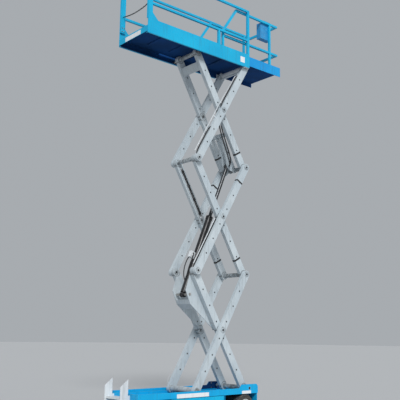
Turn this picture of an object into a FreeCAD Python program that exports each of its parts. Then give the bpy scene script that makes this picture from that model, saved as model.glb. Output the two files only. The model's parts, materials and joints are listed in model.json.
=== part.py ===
import FreeCAD, Part
import math
import os

# Slab scissor lift with its mast raised: chassis, three crossed arm sets, platform and sliding deck.
# X runs forward to the steered end, Y to the machine's left, Z up from the floor. Sizes are in mm.
# The machine is drawn with X = 0 at the chassis's rear face and moved at the end, so that the
# origin lies on the floor under the middle of the whole machine.

V = FreeCAD.Vector

# Overall sizes and clearances
machine_width = 810.0
chassis_length = 2430.0
running_gap = 0.05        # a pin in its bore, on the radius
open_gap = 0.5            # the same where the mast's loops close
seat_gap = 0.3            # a roller or runner over its track
side_gap = 5.0            # between pieces that slide past each other

# Wheels, knuckles and axles
wheel_radius = 190.5
tyre_width = 127.0
tyre_shoulder = 12.0
rim_radius = 120.0
rim_wall = 10.0
disc_thick = 14.0
disc_inset = 48.0         # from the tyre's outer face to the disc
hub_radius = 55.0
hub_proud = 22.0
stub_radius = 30.0
stub_inset = 6.0          # of each stub's end in its hub
brake_radius = 85.0
brake_thick = 22.0
carrier_size = (110.0, 120.0)
rear_axle_x = 290.0
front_overhang = 290.0
kingpin_y = 240.0
kingpin_radius = 25.0
knuckle_wall = 9.0
knuckle_height = 176.0
axle_rise = 45.0          # the front axle's middle over the wheels' centres
yoke_plate_width = 120.0
yoke_plate_thick = 18.0
yoke_rib_width = 32.0
motor_radius = 41.0
axle_eye_thick = 25.0
kingpin_proud = 6.0
axle_root_half = 90.0     # half width of the axle's arms where they leave the spine

# Mast
levels = 3
arm_length = 2154.0       # pin to pin
raised_angle = 59.8       # arms above the horizontal
arm_depth = 127.0
arm_width = 63.5
arm_wall = 6.5
arm_boss = 60.0           # solid length of an arm about each pin
arm_hole_radius = 11.0
arm_gap = 8.0             # between an outer arm and the inner arm beside it
outer_face_y = 342.0
pivot_inset = 190.0       # fixed pivots, back from the chassis's front face
pivot_z = 475.0
pin_radius = 24.0
pin_head_radius = 31.0
pin_head = 6.0
pin_end_inset = 2.0       # of the chassis pivots' pins from the faces they end at
cross_tube_radius = 36.0
cross_tube_wall = 7.0
foot_tube_radius = 50.0
roller_radius = 32.0
roller_width = 34.0
top_plate_along = 150.0   # cross plate of inner arm 3, down from its top pin
top_plate_length = 150.0
top_plate_thick = 10.0
top_plate_inset = 6.0     # under the arms' underside
pair_rod_radius = 18.0    # cross rod of the top outer arms
pair_rod_along = 95.0     # down from their top pin
hole_shares = (0.144, 0.418, 0.687)   # of half an arm's length, both ways from its middle pin

# Lift cylinder, from its bracket on inner arm 1 to the one on inner arm 3
foot_along = 310.0        # foot pin: down the arm from its top pin, and out from its underside
foot_out = 210.0
head_along = 120.0        # head pin: up the arm from its bottom pin, and out from its underside
head_out = 105.0
barrel_radius = 55.0
barrel_bore = 45.0
barrel_length = 1450.0
gland_radius = 60.0
gland_length = 55.0
rod_radius = 30.0
piston_length = 60.0
eye_radius = 42.0
foot_eye_radius = 46.0
eye_width = 70.0
lift_pin_radius = 22.0
bracket_thick = 12.0
gusset_y = 160.0          # inner face of each gusset plate
gusset_root = 30.0        # where it starts, down the arm from its top pin
gusset_tail_gap = 27.0    # from its tail to the arm's middle pin
gusset_edge = 40.0        # its edge on the arm, out from the arm's middle line
gusset_flange = 16.0
cover_along = (380.0, 570.0)
cover_thick = 10.0
head_plate_y = 42.0       # inner face of each plate that holds the cylinder's head
head_plate_reach = 700.0
head_plate_waist = 300.0  # where its deep end starts, up the arm
head_tube_inset = 40.0    # of its upper cross tube from the plate's end

# Chassis
tub_half = 221.0
sheet = 6.0
tub_floor_z = 105.0
ledge_z = 400.0           # top of the ledges beside the mast
ledge_thick = 8.0
beam_wall = 8.0
beam_height = 84.0
bracket_height = 140.0    # of the side plates at the front pivots
bracket_back = (180.0, 230.0)     # of their slope, behind the pivots
bracket_nose = 35.0
ear_thick = 12.0
ear_half = (120.0, 45.0)  # half lengths at foot and top
ear_over_pin = 31.0
track_start = 40.0
track_over = 30.0         # past the rollers' front
track_side = 2.0
bay_reach = 262.0         # the steered wheels' open bay, back from their axle
spine_half = 50.0
bumper = 25.0
bumper_edge = 8.0
bumper_corner = 60.0
bumper_z = 130.0
tie_hole_radius = 16.0
tie_hole_z = 84.0
tie_wall = 8.0            # around and under each tie-down hole
tie_thick = 12.0
tie_root = 40.0           # of the front lugs in the nose
rear_tie_x = 100.0
rear_tie_y = 150.0
front_tie_y = 120.0
ladder_reach = 170.0
ladder_stand_off = 35.0   # of the stringers' upper ends from the chassis
ladder_half = 208.0
ladder_top_z = 690.0
ladder_foot_z = 150.0
ladder_wall = 8.0
ladder_toe = (20.0, 60.0) # chamfer of the stringers' lower rear corner
ladder_slope = 105.0
ladder_fold = 60.0        # over the ledges
tread_rises = (40.0, 250.0)
tread_height = 30.0
tread_inset = 25.0
tread_wall = 4.0
guard_z = 22.0
guard_height = 106.0
guard_thick = 10.0
guard_inset = 30.0
guard_ahead = 10.0        # of the trays
guard_arm = (60.0, 12.0)
guard_arm_places = (80.0, 120.0)  # in from the trays' ends

# Trays
tray_start = 620.0        # from the chassis's rear face
tray_bay_gap = 198.0      # from the trays to the steered wheels' bay
tray_z = (136.0, 386.0)
tray_wall = 4.0
grip_size = (120.0, 7.0, 24.0)
grip_inset = 40.0
grip_drop = 70.0
block_gap = (15.0, 5.0, 12.0, 10.0)   # round the heavy block: ends, inner side, outer side, top
hinge_pin_radius = 6.0
hinge_knuckle = 30.0
hinge_inset = 44.0        # of each hinge from the tray's top and bottom
hinge_ahead = 10.0        # of the tray's end
hinge_eye_wall = 4.0
hinge_lug = 8.0
hinge_lug_gap = 1.0

# Platform and sliding deck
platform_length = 2260.0
platform_nose = 20.0      # ahead of the mast's pivots
deck_over_pivot = 75.0
track_thick = 8.0
panel_height = 250.0
panel_wall = 8.0
deck_thick = 6.0
web_y = 356.0             # inner web beside the mast's front pivot
web_clear = 71.5          # from the top rollers to the web
web_ear_gap = 6.0         # from the inner arms' plane to each pivot ear
sill_drop = 100.0
rib_depth = 16.0
rib_width = 40.0
rib_half = 195.0
rib_shares = (0.2, 0.4, 0.6, 0.8)     # of the platform's length
lip_width = 16.0
pivot_ear_thick = 10.0
pivot_tube_wall = 12.0
rail_size = 38.0
rear_post = 90.0
rear_flare = 110.0
front_post = 50.0
top_rail_height = 979.0   # top faces, over the deck
mid_rail_height = 419.0
mid_post_x = 1506.0
sill_thick = 4.0
pivot_ear_run = (90.0, 45.0)      # behind the pivots at the deck and at the foot
pivot_ear_under_pin = 21.0
notch_clear = 20.0        # of the deck's notch behind the sliding deck
chain_radius = 6.0
chain_sag = 45.0
slide_out = 800.0         # how far the sliding deck stands out
slide_travel = 910.0
slide_length = 1420.0
slide_nose = 25.0
slide_panel_y = 384.0
slide_panel_drop = 50.0
slide_panel_rise = 105.0
slide_step = (60.0, 34.0) # of the panels' lower edge: behind the deck's front, and up
slide_notch_gap = 6.0     # between the deck's edges and the sliding panels
slide_leg_inset = 6.0
slide_bend_rise = 15.0    # of the leg's bend over the guard's mid rail
runner_width = 25.0
runner_inset = 33.0
slide_rail_gap = 7.0      # between the sliding rails and the guard rails
slide_rail_drop = 40.0    # the sliding rails under the guard rails' top faces
slide_mid_drop = 50.0
slide_rail_end = 40.0     # the rails' front, back from the deck's front end
slide_post_inset = 260.0
brace_run = 310.0
brace_fold = (16.0, 12.0) # of the brace's upper edge at its top and at its foot
box_size = (260.0, 100.0, 300.0)
box_from_front = 195.0
hook_thick = 6.0
hook_inset = 40.0

# Places that follow from the sizes above
front_axle_x = chassis_length - front_overhang
wheel_y = machine_width / 2 - tyre_width / 2
wheel_inner_y = machine_width / 2 - tyre_width
stub_end_y = machine_width / 2 - disc_inset + hub_proud - stub_inset
axle_z = wheel_radius + axle_rise
angle = math.radians(raised_angle)
level_rise = arm_length * math.sin(angle)
arm_run = arm_length * math.cos(angle)
pivot_x = chassis_length - pivot_inset
slide_x = pivot_x - arm_run
outer_y = (outer_face_y - arm_width, outer_face_y)
inner_y = (outer_y[0] - arm_gap - arm_width, outer_y[0] - arm_gap)
top_pivot_z = pivot_z + levels * level_rise
side_y = machine_width / 2
roller_y = (outer_face_y + pin_head, outer_face_y + pin_head + roller_width)
bay_start = front_axle_x - bay_reach
tie_half = tie_hole_radius + tie_wall
front_tie_x = chassis_length - tie_half
tray_x = (tray_start, bay_start - tray_bay_gap)
tray_y = (tub_half + side_gap, side_y - beam_wall - 1.0)
hinge_x = tray_x[1] + hinge_ahead
hinge_y = tray_y[0] + hinge_pin_radius
hinge_z = (tray_z[0] + hinge_inset, tray_z[1] - hinge_inset)
deck_front = pivot_x + platform_nose
deck_rear = deck_front - platform_length
deck_z = top_pivot_z + deck_over_pivot
floor_z = deck_z + deck_thick
track_z = top_pivot_z - roller_radius - seat_gap
panel_bottom_z = track_z - track_thick
panel_top_z = panel_bottom_z + panel_height
top_rail_z = floor_z + top_rail_height
mid_rail_z = floor_z + mid_rail_height
runner_y = slide_panel_y - sheet - runner_inset
front_end = deck_front + slide_out + slide_nose
rear_end = -ladder_reach
origin_x = (front_end + rear_end) / 2

nodes = {}


def box(x, y, z):
    return Part.makeBox(x[1] - x[0], y[1] - y[0], z[1] - z[0], V(x[0], y[0], z[0]))


def rod(radius, start, end):
    along = V(*end) - V(*start)
    return Part.makeCylinder(radius, along.Length, V(*start), along)


def cross_rod(radius, x, z, y):
    return Part.makeCylinder(radius, y[1] - y[0], V(x, y[0], z), V(0, 1, 0))


def ring(outer, inner, x, z, y):
    return cross_rod(outer, x, z, y).cut(cross_rod(inner, x, z, y))


def side_plate(outline, y):
    points = [V(x, y[0], z) for x, z in outline]
    return Part.Face(Part.makePolygon(points + points[:1])).extrude(V(0, y[1] - y[0], 0))


def flat_plate(outline, z):
    points = [V(x, y, z[0]) for x, y in outline]
    return Part.Face(Part.makePolygon(points + points[:1])).extrude(V(0, 0, z[1] - z[0]))


def turned_form(profile, x, z):
    # A form turned about a cross axis, from its outline of radius and y.
    points = [V(x + radius, y, z) for radius, y in profile]
    return Part.Face(Part.makePolygon(points + points[:1])).revolve(V(x, 0, z), V(0, 1, 0), 360)


def join(shapes):
    return shapes[0].multiFuse(shapes[1:]).removeSplitter()


def mirrored(shape):
    return shape.mirror(V(0, 0, 0), V(0, 1, 0))


def both(shapes):
    return shapes + [mirrored(shape) for shape in shapes]


def group(shapes):
    return Part.makeCompound(shapes)


# Arms, each drawn level about its middle pin, with its underside towards +Z
half_arm = arm_length / 2
hole_places = [side * share * half_arm for side in (-1, 1) for share in hole_shares]


def stood(shape, level, inner):
    # From an arm's own frame to its place in the mast.
    degrees = 180 - raised_angle if inner else raised_angle
    shape = shape.copy()
    shape.rotate(V(0, 0, 0), V(0, 1, 0), -degrees)
    shape.translate(V(pivot_x - arm_run / 2, 0, pivot_z + (level - 0.5) * level_rise))
    return shape


def arm_tube(y, outer_side, foot_gap):
    half_depth = arm_depth / 2
    solid = join([
        box((-half_arm, half_arm), y, (-half_depth, half_depth)),
        cross_rod(half_depth, -half_arm, 0, y),
        cross_rod(half_depth, half_arm, 0, y),
    ])
    inside_y = (y[0] + arm_wall, y[1] - arm_wall)
    inside_z = (-half_depth + arm_wall, half_depth - arm_wall)
    cuts = [
        box((-half_arm + arm_boss, -arm_boss), inside_y, inside_z),
        box((arm_boss, half_arm - arm_boss), inside_y, inside_z),
        cross_rod(pin_radius + foot_gap, -half_arm, 0, y),
        cross_rod(pin_radius + running_gap, 0, 0, y),
        cross_rod(pin_radius + running_gap, half_arm, 0, y),
    ]
    hole_y = (y[1] - arm_wall, y[1]) if outer_side else (y[0], y[0] + arm_wall)
    cuts += [cross_rod(arm_hole_radius, x, 0, hole_y) for x in hole_places]
    return solid.cut(cuts)


def cross_tube(x):
    return ring(cross_tube_radius, cross_tube_radius - cross_tube_wall, x, 0, (-inner_y[0], inner_y[0]))


def arm_outline(top, outline):
    # Outline points given along an inner arm from one end pin, and out from its middle line.
    if top:
        return [(half_arm - along, out) for along, out in outline]
    return [(-half_arm + along, out) for along, out in outline]


def edge_point(start, end, along):
    share = (along - start[0]) / (end[0] - start[0])
    return along, start[1] + share * (end[1] - start[1])


def foot_bracket():
    # Gusset plates under inner arm 1 that hold the cylinder's foot, with the flanges that carry them.
    tail = (half_arm - gusset_tail_gap, gusset_edge)
    shoulder = (foot_along - 96.0, foot_out + 42.0)
    corner = (foot_along + 139.0, foot_out + 66.0)
    y = (gusset_y, gusset_y + bracket_thick)
    plate = side_plate(arm_outline(True, [(gusset_root, gusset_edge), shoulder, corner, tail]), y)
    plate = plate.cut(cross_rod(lift_pin_radius + running_gap, half_arm - foot_along, foot_out, y))
    flange = box((half_arm - tail[0], half_arm - gusset_edge), (gusset_y, inner_y[0]),
                 (gusset_edge, gusset_edge + gusset_flange))
    skin = [edge_point(shoulder, corner, cover_along[0]), corner, edge_point(corner, tail, cover_along[1])]
    inside = [(along, out - cover_thick) for along, out in reversed(skin)]
    cover = side_plate(arm_outline(True, skin + inside), (-gusset_y, gusset_y))
    return both([plate, flange]) + [cover]


def head_bracket():
    # Two long plates on cross tubes of inner arm 3, with short pin ends for the rod's eye.
    foot = -cross_tube_radius - 6.0
    deep = head_out + eye_radius
    outline = [(foot, -25.0), (head_plate_reach, -20.0), (head_plate_reach, 48.0), (head_plate_waist, 98.0),
               (head_along + 40.0, deep), (head_along - 40.0, deep), (foot, 40.0)]
    y = (head_plate_y, head_plate_y + bracket_thick)
    plate = side_plate(arm_outline(False, outline), y)
    pin_end = cross_rod(lift_pin_radius, -half_arm + head_along, head_out, (y[0], y[1] + 10.0))
    upper_tube = cross_tube(-half_arm + head_plate_reach - head_tube_inset)
    return both([join([plate, pin_end])]) + [cross_tube(-half_arm), upper_tube]


def pin_group(level, places):
    # Headed pins from the inner arm's inside face out past the outer arm.
    shapes = []
    for x in places:
        shank = cross_rod(pin_radius, x, 0, (inner_y[0], outer_face_y + 0.5))
        head = cross_rod(pin_head_radius, x, 0, (outer_face_y + 0.5, outer_face_y + pin_head))
        shapes.append(join([shank, head]))
    return stood(group(both(shapes)), level, False)


def inner_arm(level, foot_gap, extras):
    tube = arm_tube(inner_y, False, foot_gap)
    return stood(join(both([tube]) + extras), level, True)


def outer_arm(level, extras):
    tubes = both([arm_tube(outer_y, True, running_gap)])
    shape = join(tubes + extras) if extras else group(tubes)
    return stood(shape, level, False)


def roller_axle(z):
    axle = cross_rod(pin_radius, slide_x, z, (-roller_y[1], roller_y[1]))
    roller = ring(roller_radius, pin_radius, slide_x, z, roller_y)
    return join([axle] + both([roller]))


def build_mast():
    plate_end = half_arm - top_plate_along
    plate_out = arm_depth / 2 - top_plate_inset
    between = (-outer_y[0], outer_y[0])
    top_plate = box((plate_end - top_plate_length, plate_end), (-inner_y[0], inner_y[0]),
                    (plate_out - top_plate_thick, plate_out))
    foot_tube = ring(foot_tube_radius, foot_tube_radius - cross_tube_wall, -half_arm, 0, between)
    pair_rod = cross_rod(pair_rod_radius, half_arm - pair_rod_along, 0, between)
    nodes["inner_arm_1"] = inner_arm(1, running_gap, [cross_tube(-half_arm)] + foot_bracket())
    nodes["inner_arm_2"] = inner_arm(2, open_gap, [cross_tube(-half_arm), cross_tube(half_arm)])
    nodes["inner_arm_3"] = inner_arm(3, open_gap, [cross_tube(half_arm), top_plate] + head_bracket())
    nodes["outer_arm_1"] = outer_arm(1, [foot_tube])
    nodes["outer_arm_2"] = outer_arm(2, [])
    nodes["outer_arm_3"] = outer_arm(3, [pair_rod])
    nodes["outer_arm_1_pins"] = pin_group(1, (0, half_arm))
    nodes["outer_arm_2_pins"] = pin_group(2, (-half_arm, 0, half_arm))
    nodes["outer_arm_3_pins"] = pin_group(3, (-half_arm, 0))
    nodes["foot_rollers"] = roller_axle(pivot_z)
    nodes["top_rollers"] = roller_axle(top_pivot_z)


def arm_point(level, along, out):
    # A place on inner arm 1, down from its top pin, or on inner arm 3, up from its bottom pin.
    down = V(math.cos(angle), 0, -math.sin(angle))
    under = V(-math.sin(angle), 0, -math.cos(angle))
    if level == 1:
        return V(slide_x, 0, pivot_z + level_rise) + down * along + under * out
    return V(pivot_x, 0, pivot_z + 2 * level_rise) - down * along + under * out


def build_cylinder():
    foot = arm_point(1, foot_along, foot_out)
    head = arm_point(3, head_along, head_out)
    reach = (head - foot).Length
    way = (head - foot).normalize()
    eye_y = (-eye_width / 2, eye_width / 2)
    base = foot_eye_radius + 30.0
    piston_at = barrel_length - gland_length - piston_length - 60.0

    def along(radius, start, end):
        return Part.makeCylinder(radius, end - start, foot + way * start, way)

    barrel = join([
        cross_rod(foot_eye_radius, foot.x, foot.z, eye_y),
        along(barrel_radius, foot_eye_radius - 12.0, barrel_length),
        along(gland_radius, barrel_length - gland_length, barrel_length),
    ])
    nodes["lift_barrel"] = barrel.cut([
        along(barrel_bore, base, barrel_length - gland_length / 2),
        along(rod_radius + running_gap, barrel_length - gland_length, barrel_length),
        cross_rod(lift_pin_radius, foot.x, foot.z, eye_y),
    ])
    # The foot pin turns in the gussets and is held by the barrel's eye.
    pin_end = gusset_y + bracket_thick + 8.0
    nodes["lift_foot_pin"] = cross_rod(lift_pin_radius, foot.x, foot.z, (-pin_end, pin_end))
    nodes["lift_rod"] = join([
        along(rod_radius, piston_at, reach - eye_radius + 10.0),
        along(barrel_bore - running_gap, piston_at, piston_at + piston_length),
        cross_rod(eye_radius, head.x, head.z, eye_y),
    ])


def build_wheels():
    inner, outer = wheel_inner_y, side_y
    disc = (outer - disc_inset - disc_thick, outer - disc_inset)
    hub = (disc[0] - hub_proud, disc[1] + hub_proud)
    bore = stub_radius + running_gap
    well = rim_radius - rim_wall
    tyre_profile = [
        (rim_radius, inner), (wheel_radius - tyre_shoulder, inner), (wheel_radius, inner + tyre_shoulder),
        (wheel_radius, outer - tyre_shoulder), (wheel_radius - tyre_shoulder, outer), (rim_radius, outer),
    ]
    rim_profile = [
        (rim_radius, inner), (rim_radius, outer), (well, outer), (well, disc[1]), (hub_radius, disc[1]),
        (hub_radius, hub[1]), (bore, hub[1]), (bore, hub[0]), (hub_radius, hub[0]), (hub_radius, disc[0]),
        (well, disc[0]), (well, inner),
    ]
    for end, x in (("rear", rear_axle_x), ("front", front_axle_x)):
        tyre = turned_form(tyre_profile, x, wheel_radius)
        rim = turned_form(rim_profile, x, wheel_radius)
        nodes["tyre_%s_left" % end] = tyre
        nodes["tyre_%s_right" % end] = mirrored(tyre)
        nodes["rim_%s_left" % end] = rim
        nodes["rim_%s_right" % end] = mirrored(rim)


def build_yokes():
    x = front_axle_x
    knuckle_z = (axle_z - knuckle_height / 2, axle_z + knuckle_height / 2)
    plate_y = (wheel_inner_y + 4.0 - yoke_plate_thick, wheel_inner_y + 4.0)
    plate_x = (x - yoke_plate_width / 2, x + yoke_plate_width / 2)
    rib_x = (x - yoke_rib_width / 2, x + yoke_rib_width / 2)
    block = join([
        rod(kingpin_radius + knuckle_wall, (x, kingpin_y, knuckle_z[0]), (x, kingpin_y, knuckle_z[1])),
        cross_rod(motor_radius, x, wheel_radius, (kingpin_y, plate_y[1])),
        cross_rod(stub_radius, x, wheel_radius, (kingpin_y, stub_end_y)),
        box(plate_x, plate_y, (wheel_radius - motor_radius, wheel_radius + yoke_plate_width / 2)),
        box(rib_x, (kingpin_y, plate_y[0] + 4.0), (wheel_radius, knuckle_z[1] - 20.0)),
    ])
    block = block.cut(rod(kingpin_radius + running_gap, (x, kingpin_y, 0), (x, kingpin_y, ledge_z)))
    nodes["yoke_left"] = block
    nodes["yoke_right"] = mirrored(block)


def build_front_axle():
    # Spine with upper and lower arms whose eyes hold the kingpins.
    x = front_axle_x
    eye_z = knuckle_height / 2 + side_gap
    eye_radius_out = kingpin_radius + knuckle_wall
    spine = box((bay_start, chassis_length - bumper), (-spine_half, spine_half),
                (axle_z - eye_z - axle_eye_thick, ledge_z - ledge_thick))
    shapes = [spine]
    for low in (axle_z - eye_z - axle_eye_thick, axle_z + eye_z):
        z = (low, low + axle_eye_thick)
        outline = [(x - axle_root_half, 0), (x - eye_radius_out, kingpin_y), (x + eye_radius_out, kingpin_y),
                   (x + axle_root_half, 0)]
        eye = rod(eye_radius_out, (x, kingpin_y, z[0]), (x, kingpin_y, z[1]))
        hole = rod(kingpin_radius, (x, kingpin_y, z[0]), (x, kingpin_y, z[1]))
        shapes += both([join([flat_plate(outline, z), eye]).cut(hole)])
    nodes["front_axle"] = join(shapes)
    reach = eye_z + axle_eye_thick + kingpin_proud
    kingpin = rod(kingpin_radius, (x, kingpin_y, axle_z - reach), (x, kingpin_y, axle_z + reach))
    nodes["kingpins"] = group(both([kingpin]))


def build_rear_axle():
    width, height = carrier_size
    brake_y = (wheel_inner_y - brake_thick / 2, wheel_inner_y + brake_thick / 2)
    carrier = box((rear_axle_x - width / 2, rear_axle_x + width / 2), (tub_half, brake_y[0]),
                  (wheel_radius - height / 2, wheel_radius + height / 2))
    brake = cross_rod(brake_radius, rear_axle_x, wheel_radius, brake_y)
    stub = cross_rod(stub_radius, rear_axle_x, wheel_radius, (tub_half, stub_end_y))
    nodes["rear_axle"] = group(both([join([carrier, brake, stub])]))


def tie_lug(x, y, root_z):
    # Plate with a tie-down hole, from its root under the frame.
    low = tie_hole_z - tie_half
    outline = [(x - tie_half, root_z), (x + tie_half, root_z), (x + tie_half, tie_hole_z),
               (x + tie_half / 2, low), (x - tie_half / 2, low), (x - tie_half, tie_hole_z)]
    across = (y, y + tie_thick)
    return side_plate(outline, across).cut(cross_rod(tie_hole_radius, x, tie_hole_z, across))


def build_chassis():
    front = chassis_length
    ledge_bottom = ledge_z - ledge_thick
    beam_top = ledge_bottom + beam_height + ledge_thick
    bracket_top = ledge_z + bracket_height
    inside = side_y - beam_wall
    wall_y = tub_half - sheet
    tub = box((0, bay_start), (-tub_half, tub_half), (tub_floor_z, ledge_z)).cut(
        box((sheet, bay_start - sheet), (-wall_y, wall_y), (tub_floor_z + sheet, ledge_z)))
    ledge = box((0, front), (wall_y, inside), (ledge_bottom, ledge_z))
    beam = side_plate([
        (0, ledge_bottom), (front, ledge_bottom), (front, bracket_top - bracket_nose),
        (front - bracket_nose, bracket_top), (pivot_x - bracket_back[0], bracket_top),
        (pivot_x - bracket_back[1], beam_top), (0, beam_top)], (inside, side_y))
    beam = beam.cut(cross_rod(pin_radius + running_gap, pivot_x, pivot_z, (inside, side_y)))
    ear_y = (inner_y[1] + web_ear_gap, inner_y[1] + web_ear_gap + ear_thick)
    ear_top = pivot_z + pin_radius + ear_over_pin
    ear = side_plate([(pivot_x - ear_half[0], ledge_bottom), (pivot_x + ear_half[0], ledge_bottom),
                      (pivot_x + ear_half[1], ear_top), (pivot_x - ear_half[1], ear_top)], ear_y)
    ear = ear.cut(cross_rod(pin_radius + running_gap, pivot_x, pivot_z, ear_y))
    track = box((track_start, slide_x + roller_radius + track_over),
                (roller_y[0] - track_side, roller_y[1] + track_side),
                (ledge_z, pivot_z - roller_radius - seat_gap))
    rear_wall = box((0, beam_wall), (-inside, inside), (ledge_bottom, beam_top))
    front_wall = box((front - beam_wall, front), (-inside, inside), (ledge_bottom, beam_top))
    front_deck = box((bay_start - sheet, front), (-wall_y, wall_y), (ledge_bottom, ledge_z))
    back = front - bumper
    nose = flat_plate([
        (back, -side_y), (back, side_y), (back + bumper_edge, side_y), (front, side_y - bumper_corner),
        (front, -side_y + bumper_corner), (back + bumper_edge, -side_y)], (bumper_z, ledge_bottom))
    front_lug = tie_lug(front_tie_x, front_tie_y, bumper_z + tie_root)
    lugs = [front_lug, tie_lug(rear_tie_x, rear_tie_y, tub_floor_z)]
    shapes = [tub, rear_wall, front_wall, front_deck, nose]
    nodes["chassis_frame"] = join(shapes + both([ledge, beam, ear, track] + lugs))
    pin_y = (inner_y[0] + pin_end_inset, side_y - pin_end_inset)
    nodes["mast_pivot_pins"] = group(both([cross_rod(pin_radius, pivot_x, pivot_z, pin_y)]))


def build_guards():
    guard_y = (side_y - guard_inset - guard_thick, side_y - guard_inset)
    arm_z = (tub_floor_z, tub_floor_z + guard_arm[1])
    guard_x = (tray_x[0] + guard_ahead, tray_x[1] + guard_ahead)
    shapes = [box(guard_x, guard_y, (guard_z, guard_z + guard_height))]
    for x in (tray_x[0] + guard_arm_places[0], tray_x[1] - guard_arm_places[1]):
        shapes.append(box((x, x + guard_arm[0]), (tub_half, guard_y[0]), arm_z))
    guard = join(shapes)
    nodes["pothole_guard_left"] = guard
    nodes["pothole_guard_right"] = mirrored(guard)


def build_ladder():
    toe_run, toe_rise = ladder_toe
    fold_z = ledge_z + ladder_fold
    outline = [
        (0, ladder_foot_z), (-ladder_reach + toe_run, ladder_foot_z),
        (-ladder_reach, ladder_foot_z + toe_rise), (-ladder_reach, ladder_top_z - ladder_slope),
        (-ladder_stand_off, ladder_top_z), (-ladder_stand_off, fold_z), (0, fold_z)]
    inside = ladder_half - ladder_wall
    stringer = side_plate(outline, (inside, ladder_half))
    treads = []
    for rise in tread_rises:
        z = ladder_foot_z + rise
        tread = box((-ladder_reach + tread_inset, 0), (-inside, inside), (z, z + tread_height))
        under = box((-ladder_reach + tread_inset + tread_wall, 0), (-inside, inside),
                    (z, z + tread_height - tread_wall))
        treads.append(tread.cut(under))
    nodes["rear_ladder"] = join(both([stringer]) + treads)


def tray_shell():
    half = hinge_knuckle / 2
    hollow = box((tray_x[0] + tray_wall, tray_x[1] - tray_wall), (tray_y[0], tray_y[1] - tray_wall),
                 (tray_z[0] + tray_wall, tray_z[1]))
    grip_z = tray_z[1] - grip_drop
    grip_x = tray_x[0] + grip_inset
    grip = box((grip_x, grip_x + grip_size[0]), (tray_y[1], tray_y[1] + grip_size[1]),
               (grip_z, grip_z + grip_size[2]))
    pieces = [box(tray_x, tray_y, tray_z).cut(hollow), grip]
    holes = []
    for z in hinge_z:
        low, high = (hinge_x, hinge_y, z - half), (hinge_x, hinge_y, z + half)
        leaf_y = (tray_y[0], hinge_y + hinge_pin_radius)
        pieces.append(box((tray_x[1] - tray_wall, hinge_x), leaf_y, (z - half, z + half)))
        pieces.append(rod(hinge_pin_radius + hinge_eye_wall, low, high))
        holes.append(rod(hinge_pin_radius + running_gap, low, high))
    return join(pieces).cut(holes)


def build_trays():
    ends, inner, outer, top = block_gap
    shell = tray_shell()
    block = box((tray_x[0] + ends, tray_x[1] - ends), (tray_y[0] + inner, tray_y[1] - outer),
                (tray_z[0] + tray_wall, tray_z[1] - top))
    nodes["tray_left"] = shell
    nodes["tray_right"] = mirrored(shell)
    nodes["batteries"] = block
    nodes["power_unit"] = mirrored(block)
    reach = hinge_knuckle / 2 + hinge_lug_gap
    hinges = []
    for z in hinge_z:
        lug_x = (hinge_x - hinge_lug, hinge_x + hinge_lug)
        lug_y = (tub_half, hinge_y)
        lower = box(lug_x, lug_y, (z - reach - hinge_lug, z - reach))
        upper = box(lug_x, lug_y, (z + reach, z + reach + hinge_lug))
        pin_z = (z - reach - hinge_lug, z + reach + hinge_lug)
        pin = rod(hinge_pin_radius, (hinge_x, hinge_y, pin_z[0]), (hinge_x, hinge_y, pin_z[1]))
        hinges.append(join([lower, upper, pin]))
    nodes["tray_hinges"] = group(both(hinges))


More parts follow.
